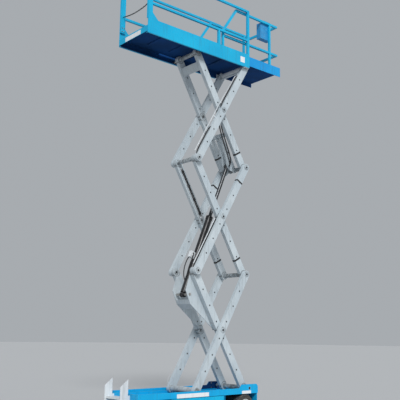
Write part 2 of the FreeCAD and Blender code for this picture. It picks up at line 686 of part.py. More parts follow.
def build_platform():
    inside = side_y - panel_wall
    x = (deck_rear, deck_front)
    side = box(x, (inside, side_y), (panel_bottom_z, panel_top_z))
    lip = box(x, (inside - lip_width, inside), (panel_top_z - sheet, panel_top_z))
    track = box(x, (web_y, inside), (panel_bottom_z, track_z))
    web_outer = web_y + sheet
    web_x = (slide_x + roller_radius + web_clear, deck_front)
    web = box(web_x, (web_y, web_outer), (panel_bottom_z, deck_z))
    web = web.cut(cross_rod(pin_radius + running_gap, pivot_x, top_pivot_z, (web_y, web_outer)))
    ear_y = (inner_y[1] - web_ear_gap, inner_y[1] - web_ear_gap + pivot_ear_thick)
    ear_low = top_pivot_z - pin_radius - pivot_ear_under_pin
    ear = side_plate([(pivot_x - pivot_ear_run[0], deck_z), (pivot_x - pivot_ear_run[1], ear_low),
                      (deck_front, ear_low), (deck_front, deck_z)], ear_y)
    ear = ear.cut(cross_rod(pin_radius + running_gap, pivot_x, top_pivot_z, ear_y))
    pivot_tube = cross_rod(pin_radius + pivot_tube_wall, pivot_x, top_pivot_z, (-ear_y[0], ear_y[0]))
    # The deck is full width behind the sliding deck's travel, and narrower where its panels pass.
    narrow = slide_panel_y - sheet - slide_notch_gap
    notch = deck_front - slide_length - notch_clear
    right_edge = [(deck_rear, -inside), (notch, -inside), (notch, -narrow), (deck_front, -narrow)]
    left_edge = [(along, -across) for along, across in reversed(right_edge)]
    deck = flat_plate(right_edge + left_edge, (deck_z, floor_z))
    ribs = []
    for share in rib_shares:
        at = deck_rear + platform_length * share
        rib_x = (at - rib_width / 2, at + rib_width / 2)
        ribs.append(box(rib_x, (-rib_half, rib_half), (deck_z - rib_depth, deck_z)))
    nodes["platform_frame"] = join([deck, pivot_tube] + ribs + both([side, track, web, ear]))
    sill_x = (deck_rear - sill_thick, deck_rear)
    nodes["rear_sill"] = box(sill_x, (-inside, inside), (floor_z - sill_drop, floor_z))
    pin = cross_rod(pin_radius, pivot_x, top_pivot_z, (ear_y[0] + 4.0, web_outer + 4.0))
    nodes["platform_pivot_pins"] = group(both([pin]))
    post_y = (side_y - rail_size, side_y)
    rails = []
    for z in (mid_rail_z, top_rail_z):
        rails.append(box(x, post_y, (z - rail_size, z)))
    rails.append(box((deck_rear, deck_rear + rear_post), post_y, (panel_top_z, top_rail_z)))
    rails.append(box((deck_front - front_post, deck_front), post_y, (panel_top_z, top_rail_z)))
    post_x = deck_rear + mid_post_x
    rails.append(box((post_x, post_x + rail_size), post_y, (panel_top_z, mid_rail_z)))
    corner = deck_rear + rear_post
    rails.append(side_plate([(corner, panel_top_z), (corner + rear_flare, panel_top_z),
                             (corner, panel_top_z + rear_flare)], (side_y - panel_wall, side_y)))
    one_side = join(rails)
    nodes["guard_rails_left"] = one_side
    nodes["guard_rails_right"] = mirrored(one_side)
    # Two chains across the entry, each a plain round cord on an arc.
    half = side_y - rail_size
    reach = half + chain_radius
    hang_x = deck_rear + rear_post / 2
    between = box((deck_rear, deck_rear + rear_post), (-half, half), (panel_top_z, top_rail_z))
    chains = []
    for z in (mid_rail_z, top_rail_z - rail_size):
        ends = (V(hang_x, -reach, z), V(hang_x, reach, z))
        path = Part.Wire(Part.Arc(ends[0], V(hang_x, 0, z - chain_sag), ends[1]).toShape())
        start = Part.Wire(Part.Circle(ends[0], V(0, 1, 0), chain_radius).toShape())
        chains.append(path.makePipeShell([start], True, False).common(between))
    nodes["entry_chain"] = group(chains)


def build_slide():
    rear = deck_front + slide_out - slide_length
    step = deck_front - slide_step[0]
    bottom = panel_bottom_z + slide_panel_drop
    top = floor_z + slide_panel_rise
    lower = bottom + slide_step[1]
    inside = slide_panel_y - sheet
    base = floor_z + side_gap
    panel = side_plate([(rear, lower), (rear, top), (front_end, top), (front_end, bottom), (step, bottom),
                        (step, lower)], (inside, slide_panel_y))
    floor = box((rear, front_end), (-inside, inside), (base, base + sheet))
    nose = box((front_end - sheet, front_end), (-inside, inside), (base, top))
    runner = box((rear, front_end - sheet), (runner_y - runner_width, runner_y), (floor_z + seat_gap, base))
    nodes["slide_deck"] = join([floor, nose] + both([panel, runner]))
    # Bent side rails: a rear leg, a sloping brace and the level top rail, with a mid rail and one post.
    # Both rails run round the front with no corner post.
    outer = side_y - rail_size - slide_rail_gap
    y = (outer - rail_size, outer)
    high = top_rail_z - slide_rail_drop
    middle = mid_rail_z - slide_mid_drop
    leg_x = rear + slide_leg_inset
    bend_z = mid_rail_z + slide_bend_rise
    rail_front = front_end - slide_rail_end
    outline = [
        (leg_x, base + sheet), (leg_x + rail_size, base + sheet), (leg_x + rail_size, bend_z),
        (leg_x + rail_size + brace_run, high - rail_size), (rail_front, high - rail_size),
        (rail_front, high), (leg_x + brace_run + brace_fold[0], high), (leg_x, bend_z + brace_fold[1])]
    frame = side_plate(outline, y)
    mid = box((leg_x, rail_front), y, (middle - rail_size, middle))
    post_x = front_end - slide_post_inset
    post = box((post_x, post_x + rail_size), y, (base + sheet, high))
    across = []
    for z in (middle, high):
        across.append(box((rail_front - rail_size, rail_front), (-outer, outer), (z - rail_size, z)))
    nodes["slide_rails"] = join(across + both([frame, mid, post]))
    box_x = (front_end - box_from_front - box_size[0], front_end - box_from_front)
    face = -y[0]
    case = box(box_x, (face, face + box_size[1]), (high - rail_size - box_size[2], high - rail_size))
    hook_x = (box_x[0] + hook_inset, box_x[1] - hook_inset)
    hook = box(hook_x, (face, face + hook_thick), (high - rail_size, high + hook_thick))
    over = box(hook_x, (face - rail_size, face), (high, high + hook_thick))
    nodes["control_box"] = join([case, hook, over])


def export():
    os.makedirs("parts", exist_ok=True)
    for name, shape in nodes.items():
        shape = shape.copy()
        shape.translate(V(-origin_x, 0, 0))
        shape.exportStep("parts/%s.step" % name)


build_mast()
build_cylinder()
build_wheels()
build_yokes()
build_front_axle()
build_rear_axle()
build_chassis()
build_guards()
build_ladder()
build_trays()
build_platform()
build_slide()
export()
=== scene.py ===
import json
import math
import bmesh
import bpy
from mathutils import Matrix, Vector


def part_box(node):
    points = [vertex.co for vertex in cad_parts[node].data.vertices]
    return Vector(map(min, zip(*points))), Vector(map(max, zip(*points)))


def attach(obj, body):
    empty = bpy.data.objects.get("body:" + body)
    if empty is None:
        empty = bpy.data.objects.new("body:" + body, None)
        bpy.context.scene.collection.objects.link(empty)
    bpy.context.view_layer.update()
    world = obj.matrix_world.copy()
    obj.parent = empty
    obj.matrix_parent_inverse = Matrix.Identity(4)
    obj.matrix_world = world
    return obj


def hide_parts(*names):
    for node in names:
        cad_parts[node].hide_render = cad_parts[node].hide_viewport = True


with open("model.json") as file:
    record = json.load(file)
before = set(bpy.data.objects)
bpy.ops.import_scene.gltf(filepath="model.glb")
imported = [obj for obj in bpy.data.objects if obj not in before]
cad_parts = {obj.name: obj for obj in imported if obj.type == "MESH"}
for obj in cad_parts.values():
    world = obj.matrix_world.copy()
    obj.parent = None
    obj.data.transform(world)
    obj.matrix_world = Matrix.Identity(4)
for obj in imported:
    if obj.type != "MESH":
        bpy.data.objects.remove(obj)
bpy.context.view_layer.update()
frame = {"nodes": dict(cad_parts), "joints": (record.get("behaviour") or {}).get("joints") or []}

# Slab scissor lift: camera, light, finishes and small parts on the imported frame.
# Metres, X forward, Y to the machine's left, Z up.

nodes = frame["nodes"]
pivots = {joint["name"]: Vector(joint["pos_m"]) for joint in frame["joints"] if "pos_m" in joint}
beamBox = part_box("chassis_frame")
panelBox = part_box("platform_frame")
print("frame loaded:", len(nodes), "nodes")


# The camera stands where the photograph was taken
camera = {
    "place": (-7.3245, -8.562, 1.413),
    "yaw": 0.7086,            # from +Y towards +X
    "pitch": 0.1886,
    "roll": 0.0112,
    "focalPixels": 677.4,
    "imagePixels": 400,
}


def makeCamera():
    yaw, pitch, roll = camera["yaw"], camera["pitch"], camera["roll"]
    ahead = Vector((math.sin(yaw) * math.cos(pitch), math.cos(yaw) * math.cos(pitch), math.sin(pitch)))
    level = Vector((math.cos(yaw), -math.sin(yaw), 0))
    upright = level.cross(ahead)
    right = level * math.cos(roll) + upright * math.sin(roll)
    up = upright * math.cos(roll) - level * math.sin(roll)
    turn = Matrix((right, up, -ahead)).transposed().to_4x4()
    lens = bpy.data.cameras.new("camera")
    lens.sensor_fit = "HORIZONTAL"
    lens.sensor_width = 36
    lens.lens = 36 * camera["focalPixels"] / camera["imagePixels"]
    lens.clip_end = 200
    eye = bpy.data.objects.new("camera", lens)
    eye.matrix_world = Matrix.Translation(camera["place"]) @ turn
    bpy.context.scene.collection.objects.link(eye)
    bpy.context.scene.camera = eye


# Soft studio light from the viewer's side, a pale floor and a plain backdrop
studio = {
    "floorRadius": 60.0,
    "floorColour": (0.50, 0.51, 0.52, 1),
    "skyColour": (0.68, 0.72, 0.76, 1),
    "groundColour": (0.20, 0.22, 0.25, 1),
    "skyStrength": 0.57,
    "keyStrength": 2.40,
    "keyTurn": (53, 0, -34),
    "keySpread": 18,
    "fillStrength": 0.35,
    "fillTurn": (70, 0, 40),
    "fillSpread": 60,
}


def makeSun(name, strength, turn, spread):
    lamp = bpy.data.lights.new(name, "SUN")
    lamp.energy = strength
    lamp.angle = math.radians(spread)
    sun = bpy.data.objects.new(name, lamp)
    sun.rotation_euler = [math.radians(value) for value in turn]
    bpy.context.scene.collection.objects.link(sun)


def makeStudio():
    makeSun("keyLight", studio["keyStrength"], studio["keyTurn"], studio["keySpread"])
    makeSun("fillLight", studio["fillStrength"], studio["fillTurn"], studio["fillSpread"])
    world = bpy.data.worlds.new("studio")
    world.use_nodes = True
    tree = world.node_tree
    direction = tree.nodes.new("ShaderNodeTexCoord").outputs["Generated"]
    height = tree.nodes.new("ShaderNodeSeparateXYZ")
    tree.links.new(direction, height.inputs[0])
    blend = tree.nodes.new("ShaderNodeMapRange")
    blend.inputs["From Min"].default_value = -0.30
    blend.inputs["From Max"].default_value = -0.02
    tree.links.new(height.outputs["Z"], blend.inputs["Value"])
    mixed = mixColour(tree, blend.outputs[0], studio["groundColour"], studio["skyColour"])
    background = tree.nodes["Background"]
    tree.links.new(mixed, background.inputs["Color"])
    background.inputs["Strength"].default_value = studio["skyStrength"]
    bpy.context.scene.world = world
    shape = bmesh.new()
    bmesh.ops.create_circle(shape, cap_ends=True, segments=64, radius=studio["floorRadius"])
    mesh = bpy.data.meshes.new("floor")
    shape.to_mesh(mesh)
    shape.free()
    floor = bpy.data.objects.new("floor", mesh)
    bpy.context.scene.collection.objects.link(floor)
    material, tree, shader, coords = startMaterial("floorPaint")
    shader.inputs["Base Color"].default_value = studio["floorColour"]
    shader.inputs["Specular IOR Level"].default_value = 0.2
    shader.inputs["Roughness"].default_value = 0.9
    mesh.materials.append(material)
    bpy.context.scene.view_settings.view_transform = "Standard"


# Small tools for shader trees
def startMaterial(name):
    material = bpy.data.materials.new(name)
    material.use_nodes = True
    tree = material.node_tree
    shader = tree.nodes["Principled BSDF"]
    coords = tree.nodes.new("ShaderNodeTexCoord").outputs["Object"]
    return material, tree, shader, coords


def addNode(tree, kind, inputs=None, **settings):
    node = tree.nodes.new("ShaderNode" + kind)
    for key, value in settings.items():
        setattr(node, key, value)
    for key, value in (inputs or {}).items():
        if isinstance(value, bpy.types.NodeSocket):
            tree.links.new(value, node.inputs[key])
        else:
            node.inputs[key].default_value = value
    return node


def mixColour(tree, factor, first, second):
    node = addNode(tree, "Mix", {0: factor, 6: first, 7: second}, data_type="RGBA")
    return node.outputs[2]


def sums(tree, operation, first, second=0.0):
    return addNode(tree, "Math", {0: first, 1: second}, operation=operation).outputs[0]


def between(tree, value, low, high, start=0.0, end=1.0):
    inputs = {"Value": value, "From Min": low, "From Max": high, "To Min": start, "To Max": end}
    return addNode(tree, "MapRange", inputs).outputs[0]


def speckle(tree, coords, scale, detail=4.0, stretch=None):
    if stretch:
        coords = addNode(tree, "Mapping", {"Vector": coords, "Scale": stretch}).outputs[0]
    return addNode(tree, "TexNoise", {"Vector": coords, "Scale": scale, "Detail": detail}).outputs[0]


def axes(tree, coords):
    return addNode(tree, "SeparateXYZ", {0: coords}).outputs


def edges(tree, radius):
    # 1 on outer edges, from the difference between the rounded and the true normal.
    rounded = addNode(tree, "Bevel", {"Radius": radius}, samples=4).outputs[0]
    true = addNode(tree, "NewGeometry").outputs["Normal"]
    along = addNode(tree, "VectorMath", {0: rounded, 1: true}, operation="DOT_PRODUCT").outputs["Value"]
    return between(tree, along, 0.97, 0.82)


def facingUp(tree):
    normal = addNode(tree, "NewGeometry").outputs["Normal"]
    return axes(tree, normal)[2]


def inBox(tree, coords, low, high):
    # 1 inside a box, for a blank label, a floor area or a box of painted shade.
    mask = None
    for axis, value in enumerate(axes(tree, coords)):
        for operation, limit in (("GREATER_THAN", low[axis]), ("LESS_THAN", high[axis])):
            side = sums(tree, operation, value, limit)
            mask = side if mask is None else sums(tree, "MULTIPLY", mask, side)
    return mask


def nearPin(tree, coords, place, inner, outer):
    # Fades from 1 to 0 about an arm's pin, across its flat side.
    parts = axes(tree, coords)
    dx = sums(tree, "SUBTRACT", parts[0], place[0])
    dz = sums(tree, "SUBTRACT", parts[2], place[1])
    far = sums(tree, "SQRT", sums(tree, "ADD", sums(tree, "MULTIPLY", dx, dx), sums(tree, "MULTIPLY", dz, dz)))
    return between(tree, far, inner, outer, 1.0, 0.0)


def armHoleShade(tree, coords, start, end):
    # 1 in and round an arm's cable holes, which lie the same both ways from its middle pin; it places painted shade in
    # the holes.
    first, last = Vector(start), Vector(end)
    middle, way = (first + last) / 2, (last - first).normalized()
    parts = axes(tree, coords)
    dx = sums(tree, "SUBTRACT", parts[0], middle.x)
    dz = sums(tree, "SUBTRACT", parts[2], middle.y)
    along = sums(tree, "ADD", sums(tree, "MULTIPLY", dx, way.x), sums(tree, "MULTIPLY", dz, way.y))
    across = sums(tree, "SUBTRACT", sums(tree, "MULTIPLY", dz, way.x), sums(tree, "MULTIPLY", dx, way.y))
    across = sums(tree, "MULTIPLY", across, across)
    away = sums(tree, "ABSOLUTE", along)
    mask = None
    for place in armHoleLook["places"]:
        gap = sums(tree, "SUBTRACT", away, place)
        far = sums(tree, "SQRT", sums(tree, "ADD", sums(tree, "MULTIPLY", gap, gap), across))
        spot = between(tree, far, armHoleLook["radius"], armHoleLook["radius"] + 0.004, 1.0, 0.0)
        mask = spot if mask is None else sums(tree, "MAXIMUM", mask, spot)
    return mask


# Painted steel, with tone, streaks, dust on top faces, chipped edges and a fine skin, and where asked painted shade
# and painted shadow rings
bluePaint = {
    "light": (0.008, 0.475, 0.760, 1), "deep": (0.005, 0.400, 0.680, 1), "chip": (0.16, 0.20, 0.24, 1),
    "grime": (0.05, 0.10, 0.15, 1), "streaks": 0.30, "chips": 0.75, "dust": 0.22,
    "gloss": (0.24, 0.42), "shine": 0.20,
}
slideBlue = dict(bluePaint, light=(0.006, 0.345, 0.760, 1), deep=(0.004, 0.285, 0.680, 1))
baseBlue = dict(bluePaint, light=(0.006, 0.420, 0.770, 1), deep=(0.004, 0.350, 0.690, 1))
greyPaint = {
    "light": (0.560, 0.625, 0.660, 1), "deep": (0.455, 0.525, 0.570, 1), "chip": (0.20, 0.19, 0.18, 1),
    "grime": (0.15, 0.15, 0.14, 1), "streaks": 0.36, "chips": 0.85, "dust": 0.15,
    "gloss": (0.30, 0.52), "shine": 0.4,
}
palePaint = dict(greyPaint, light=(0.74, 0.78, 0.80, 1), deep=(0.66, 0.70, 0.73, 1))
rimPaint = dict(greyPaint, light=(0.62, 0.64, 0.66, 1), deep=(0.50, 0.52, 0.54, 1), streaks=0.5, dust=0.4)
blackPaint = {
    "light": (0.022, 0.023, 0.026, 1), "deep": (0.013, 0.013, 0.015, 1), "chip": (0.22, 0.21, 0.20, 1),
    "grime": (0.06, 0.055, 0.05, 1), "streaks": 0.30, "chips": 0.8, "dust": 0.25,
    "gloss": (0.28, 0.45), "shine": 0.4,
}
dustColour = (0.34, 0.32, 0.29, 1)
# Dark grease round the pins and on bare metal; also the colour of the painted shadow rings on the inner arms
greaseAndShadowColour = (0.035, 0.030, 0.025, 1)
labelColour = (0.80, 0.82, 0.84, 1)
# Near-black painted shade in the pin heads' centre recesses and the arms' cable holes
recessShadeColour = (0.010, 0.010, 0.012, 1)
# Dark navy painted shade for undersides and the insides of walls
paintedShadeBlue = {"light": (0.002, 0.050, 0.200, 1), "deep": (0.002, 0.034, 0.120, 1), "rough": 0.95}
armHoleLook = {"places": (0.155, 0.450, 0.740), "radius": 0.0112}
# Radii of the painted shadow ring that an outer arm's end casts on the inner arm round each pin
shadowRingRadii = {"inside": 0.062, "dark": 0.069, "outside": 0.080}


def paintedSteel(name, look, labels=(), pins=(), tread=None, under=(), arm=None, paintShadowRings=False, recessShades=(), pale=()):
    material, tree, shader, coords = startMaterial(name)
    tone = between(tree, speckle(tree, coords, 2.2, 5), 0.35, 0.65)
    colour = mixColour(tree, tone, look["deep"], look["light"])
    for low, high in labels:
        worn = between(tree, speckle(tree, coords, 55, 6), 0.18, 0.26)
        colour = mixColour(tree, sums(tree, "MULTIPLY", inBox(tree, coords, low, high), worn), colour, labelColour)
    runs = between(tree, speckle(tree, coords, 5, 6, (6, 6, 0.5)), 0.52, 0.78, 0, look["streaks"])
    colour = mixColour(tree, runs, colour, look["grime"])
    # Painted shade: dark navy inside each under box, made rough as well
    paintedShade = None
    for low, high in under:
        shade = mixColour(tree, tone, paintedShadeBlue["deep"], paintedShadeBlue["light"])
        area = inBox(tree, coords, low, high)
        colour = mixColour(tree, area, colour, shade)
        paintedShade = area if paintedShade is None else sums(tree, "MAXIMUM", paintedShade, area)
    for low, high in pale:
        colour = mixColour(tree, inBox(tree, coords, low, high), colour, palePaint["deep"])
    for place in pins:
        ring = sums(tree, "MULTIPLY", nearPin(tree, coords, place, 0.036, 0.062),
                    between(tree, speckle(tree, coords, 22, 5), 0.38, 0.62, 0.15, 0.75))
        colour = mixColour(tree, ring, colour, greaseAndShadowColour)
        # Painted shadow: a dark ring just outside each pin boss on the inner arms
        if paintShadowRings:
            wall = nearPin(tree, coords, place, shadowRingRadii["dark"], shadowRingRadii["outside"])
            ring = sums(tree, "SUBTRACT", wall, nearPin(tree, coords, place, shadowRingRadii["inside"], shadowRingRadii["dark"]))
            ring = between(tree, ring, 0.0, 1.0, 0.0, 0.75)
            colour = mixColour(tree, ring, colour, greaseAndShadowColour)
    # Painted shade in the pin heads' centre recesses
    for place in recessShades:
        colour = mixColour(tree, nearPin(tree, coords, place, 0.019, 0.021), colour, recessShadeColour)
    # Painted shade in the arms' cable holes
    if arm:
        colour = mixColour(tree, armHoleShade(tree, coords, *arm), colour, recessShadeColour)
    top = between(tree, facingUp(tree), 0.4, 0.95, 0, look["dust"])
    settled = sums(tree, "MULTIPLY", top, between(tree, speckle(tree, coords, 9, 6), 0.3, 0.7, 0.3, 1.0))
    colour = mixColour(tree, settled, colour, dustColour)
    bitten = between(tree, speckle(tree, coords, 48, 5), 0.50, 0.62, 0, look["chips"])
    chips = sums(tree, "MULTIPLY", edges(tree, 0.004), bitten)
    colour = mixColour(tree, chips, colour, look["chip"])
    rough = between(tree, speckle(tree, coords, 12, 5), 0.3, 0.7, look["gloss"][0], look["gloss"][1])
    rough = sums(tree, "ADD", rough, sums(tree, "MULTIPLY", settled, 0.6))
    if paintedShade:
        rough = sums(tree, "MAXIMUM", rough, sums(tree, "MULTIPLY", paintedShade, paintedShadeBlue["rough"]))
    skin = sums(tree, "ADD", sums(tree, "MULTIPLY", speckle(tree, coords, 260, 2), 0.25),
                sums(tree, "MULTIPLY", speckle(tree, coords, 9, 3), 1.0))
    if tread:
        low, high = tread
        area = inBox(tree, coords, low, high)
        plate, height = treadPlate(tree, coords)
        colour = mixColour(tree, area, colour, plate)
        skin = sums(tree, "ADD", skin, sums(tree, "MULTIPLY", sums(tree, "MULTIPLY", height, area), 6.0))
    soft = addNode(tree, "Bevel", {"Radius": 0.003}, samples=4).outputs[0]
    bump = addNode(tree, "Bump", {"Strength": 0.35, "Distance": 0.0012, "Height": skin, "Normal": soft})
    tree.links.new(colour, shader.inputs["Base Color"])
    tree.links.new(rough, shader.inputs["Roughness"])
    tree.links.new(bump.outputs[0], shader.inputs["Normal"])
    shader.inputs["Specular IOR Level"].default_value = look["shine"]
    return material


def treadPlate(tree, coords):
    # Raised lozenges in two crossed rows, for a walked-on floor.
    height = None
    for turn in (0.785, -0.785):
        laid = addNode(tree, "Mapping", {"Vector": coords, "Rotation": (0, 0, turn), "Scale": (38, 16, 1)}).outputs[0]
        parts = axes(tree, laid)
        waves = [sums(tree, "SINE", sums(tree, "MULTIPLY", parts[axis], 3.1416)) for axis in (0, 1)]
        lump = between(tree, sums(tree, "MULTIPLY", waves[0], waves[1]), 0.62, 0.9)
        height = lump if height is None else sums(tree, "MAXIMUM", height, lump)
    worn = between(tree, speckle(tree, coords, 4, 6), 0.35, 0.65)
    ground = mixColour(tree, worn, (0.10, 0.11, 0.12, 1), (0.24, 0.26, 0.28, 1))
    return mixColour(tree, height, ground, (0.42, 0.44, 0.46, 1)), height


# Bare metals
steelLook = {"light": (0.60, 0.60, 0.58, 1), "deep": (0.40, 0.39, 0.37, 1), "gloss": (0.26, 0.48), "smear": 0.35}
chromeLook = {"light": (0.090, 0.095, 0.10, 1), "deep": (0.055, 0.058, 0.062, 1), "gloss": (0.30, 0.40), "smear": 0.35}
boltLook = {"light": (0.36, 0.36, 0.35, 1), "deep": (0.18, 0.175, 0.165, 1), "gloss": (0.30, 0.55), "smear": 0.5}


def bareMetal(name, look):
    material, tree, shader, coords = startMaterial(name)
    tone = between(tree, speckle(tree, coords, 30, 6), 0.35, 0.65)
    colour = mixColour(tree, tone, look["deep"], look["light"])
    oily = between(tree, speckle(tree, coords, 8, 6, (1, 1, 0.3)), 0.5, 0.75, 0, look["smear"])
    colour = mixColour(tree, oily, colour, greaseAndShadowColour)
    rough = between(tree, speckle(tree, coords, 70, 4), 0.3, 0.7, look["gloss"][0], look["gloss"][1])
    soft = addNode(tree, "Bevel", {"Radius": 0.0015}, samples=4).outputs[0]
    grain = speckle(tree, coords, 400, 2)
    bump = addNode(tree, "Bump", {"Strength": 0.12, "Distance": 0.0006, "Height": grain, "Normal": soft})
    tree.links.new(colour, shader.inputs["Base Color"])
    tree.links.new(rough, shader.inputs["Roughness"])
    tree.links.new(bump.outputs[0], shader.inputs["Normal"])
    shader.inputs["Metallic"].default_value = 1.0
    return material


# Rubber and plastics
def tyreRubber(name, centre):
    material, tree, shader, coords = startMaterial(name)
    tone = between(tree, speckle(tree, coords, 9, 6), 0.35, 0.7)
    colour = mixColour(tree, tone, (0.028, 0.028, 0.029, 1), (0.060, 0.058, 0.055, 1))
    dusty = between(tree, speckle(tree, coords, 24, 6), 0.48, 0.72, 0, 0.55)
    colour = mixColour(tree, dusty, colour, (0.20, 0.18, 0.155, 1))
    parts = axes(tree, coords)
    dx = sums(tree, "SUBTRACT", parts[0], centre[0])
    dz = sums(tree, "SUBTRACT", parts[2], centre[2])
    turn = sums(tree, "ARCTAN2", dz, dx)
    lean = sums(tree, "MULTIPLY", sums(tree, "ABSOLUTE", sums(tree, "SUBTRACT", parts[1], centre[1])), 9.0)
    wave = sums(tree, "SINE", sums(tree, "MULTIPLY", sums(tree, "ADD", turn, lean), 34.0))
    groove = between(tree, wave, 0.55, 0.8)
    far = sums(tree, "SQRT", sums(tree, "ADD", sums(tree, "MULTIPLY", dx, dx), sums(tree, "MULTIPLY", dz, dz)))
    onTread = between(tree, far, 0.180, 0.187)
    height = sums(tree, "SUBTRACT", sums(tree, "MULTIPLY", speckle(tree, coords, 120, 3), 0.2),
                  sums(tree, "MULTIPLY", groove, onTread))
    bump = addNode(tree, "Bump", {"Strength": 0.6, "Distance": 0.004, "Height": height})
    rough = between(tree, speckle(tree, coords, 30, 4), 0.3, 0.7, 0.72, 0.92)
    tree.links.new(colour, shader.inputs["Base Color"])
    tree.links.new(rough, shader.inputs["Roughness"])
    tree.links.new(bump.outputs[0], shader.inputs["Normal"])
    return material


def mouldedPlastic(name, light, deep, gloss=(0.4, 0.6), grain=180):
    material, tree, shader, coords = startMaterial(name)
    tone = between(tree, speckle(tree, coords, 14, 5), 0.35, 0.65)
    colour = mixColour(tree, tone, deep, light)
    dusty = between(tree, speckle(tree, coords, 35, 6), 0.55, 0.8, 0, 0.25)
    colour = mixColour(tree, dusty, colour, dustColour)
    rough = between(tree, speckle(tree, coords, 50, 4), 0.3, 0.7, gloss[0], gloss[1])
    soft = addNode(tree, "Bevel", {"Radius": 0.003}, samples=4).outputs[0]
    bump = addNode(tree, "Bump", {"Strength": 0.2, "Distance": 0.0008, "Height": speckle(tree, coords, grain, 2),
                                  "Normal": soft})
    tree.links.new(colour, shader.inputs["Base Color"])
    tree.links.new(rough, shader.inputs["Roughness"])
    tree.links.new(bump.outputs[0], shader.inputs["Normal"])
    return material


# Finishes of the carried-over nodes
panelLabels = {
    "chassisRear": ((0.715, 1.353), (0.394, 0.455)),     # from the machine's rear face and the floor
    "chassisFront": ((2.066, 2.271), (0.394, 0.440)),
    "platform": ((2.034, 2.140), (6.085, 6.190)),
}
sillLabel = {"half": 0.215, "edge": 0.006}
chassisRear = beamBox[0][0]


def sideLabel(name):
    along, heights = panelLabels[name]
    low = (chassisRear + along[0], -1.0, heights[0])
    high = (chassisRear + along[1], -0.4045, heights[1])
    return low, high


def pinPlaces():
    # The mast's pins in side view, named by level and side: R at the front, L at the rear, C at the crossings.
    front, rear = pivots["mast_lift"], pivots["knuckle_12"]
    rise = rear.z - front.z
    places = {}
    for level in range(4):
        places["R%d" % level] = (front.x, front.z + level * rise)
        places["L%d" % level] = (rear.x, front.z + level * rise)
    for level in (1, 2, 3):
        places["C%d" % level] = ((front.x + rear.x) / 2, front.z + (level - 0.5) * rise)
    return places


armPins = {
    "inner_arm_1": ("R0", "C1", "L1"), "outer_arm_1": ("L0", "C1", "R1"),
    "inner_arm_2": ("R1", "C2", "L2"), "outer_arm_2": ("L1", "C2", "R2"),
    "inner_arm_3": ("R2", "C3", "L3"), "outer_arm_3": ("L2", "C3", "R3"),
}
chosenFinish = {
    "mast_pivot_pins": "pins", "kingpins": "steel", "platform_pivot_pins": "pins", "lift_foot_pin": "steel",
    "foot_rollers": "steel", "top_rollers": "steel", "outer_arm_1_pins": "pins", "outer_arm_2_pins": "pins",
    "outer_arm_3_pins": "pins", "lift_rod": "chrome", "lift_barrel": "black", "front_axle": "black",
    "rear_axle": "black", "yoke_left": "black", "yoke_right": "black", "tray_hinges": "black",
    "rear_ladder": "pale", "batteries": "battery", "power_unit": "battery",
    "control_box": "box", "guard_rails_left": "blue", "guard_rails_right": "blue", "slide_rails": "blue",
    "pothole_guard_left": "blue", "pothole_guard_right": "blue", "tray_left": "blue", "tray_right": "blue",
}
shadeWalls = {"platform": 0.3975, "lip": 0.3805, "slide": 0.3835, "chassis": 0.3975, "end": 0.004, "skin": 0.001}
floorSlot = {"inside": 0.3765, "rise": 0.016}    # the slide's side panels run in it
panelDrop = 0.0315           # of the side panels' lips, under the platform's pivots


def setFinish(node, material):
    slots = nodes[node].material_slots
    if not slots:
        nodes[node].data.materials.append(material)
    for slot in slots:
        slot.material = material


def shadeBelowFloor(box, half, level, start=0.0):
    # The space below a floor and between its side walls, which gets painted shade in dark navy.
    low, high = box
    end, skin = shadeWalls["end"], shadeWalls["skin"]
    return (low[0] + end, -half, start), (high[0] - end, half, level - skin)


def finishChassis():
    front = pivots["mast_lift"]
    half = shadeWalls["chassis"]
    # Painted shade: dark navy on the inner faces of the mast's front bracket and inside the chassis tub
    bracketShade = ((front.x - 0.42, -half, front.z - 0.055), (front.x + 0.16, half, front.z + 0.10))
    tubShade = ((beamBox[0][0] + 0.02, -0.2175, 0.10), (front.x - 0.2, 0.2175, 0.3995))
    labels = [sideLabel("chassisRear"), sideLabel("chassisFront")]
    setFinish("chassis_frame", paintedSteel("chassisPaint", baseBlue, labels=labels, under=[bracketShade, tubShade]))


def finishPlatform():
    low, high = panelBox
    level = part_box("rear_sill")[1][2]
    walked = ((low[0], -0.396, level - 0.001), (high[0], 0.396, level + 0.0015))
    pivot = pivots["platform_pivot"]
    ears = ((pivot.x - 0.10, -0.397, pivot.z - 0.06), (pivot.x + 0.055, 0.397, pivot.z + 0.035))
    # Painted shade: dark navy below the floor, between the side panels' lips and below the pivots
    under = [shadeBelowFloor(panelBox, shadeWalls["lip"], level),
             shadeBelowFloor(panelBox, shadeWalls["platform"], level, pivot.z - panelDrop)]
    # Painted shade on the inner walls along the floor slot, up to the slot's rise
    for side in (-1, 1):
        walls = sorted((side * floorSlot["inside"], side * shadeWalls["platform"]))
        under.append(((low[0] + 0.03, walls[0], level - 0.002), (pivot.x, walls[1], level + floorSlot["rise"])))
    setFinish("platform_frame", paintedSteel("platformPaint", bluePaint, labels=[sideLabel("platform")],
                                             tread=walked, under=under, pale=[ears]))
    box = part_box("slide_deck")
    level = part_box("slide_rails")[0][2]
    walked = ((box[0][0], -0.377, level - 0.0015), (box[1][0] - 0.01, 0.377, level + 0.0015))
    # Painted shade: dark navy below the slide's floor
    under = [shadeBelowFloor(box, shadeWalls["slide"], level)]
    setFinish("slide_deck", paintedSteel("slidePaint", slideBlue, tread=walked, under=under))
    low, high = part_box("rear_sill")
    half, edge = sillLabel["half"], sillLabel["edge"]
    plate = ((low[0] - 0.1, -half, low[2] + edge), (high[0], half, high[2] - 0.02))
    setFinish("rear_sill", paintedSteel("sillPaint", bluePaint, labels=[plate]))


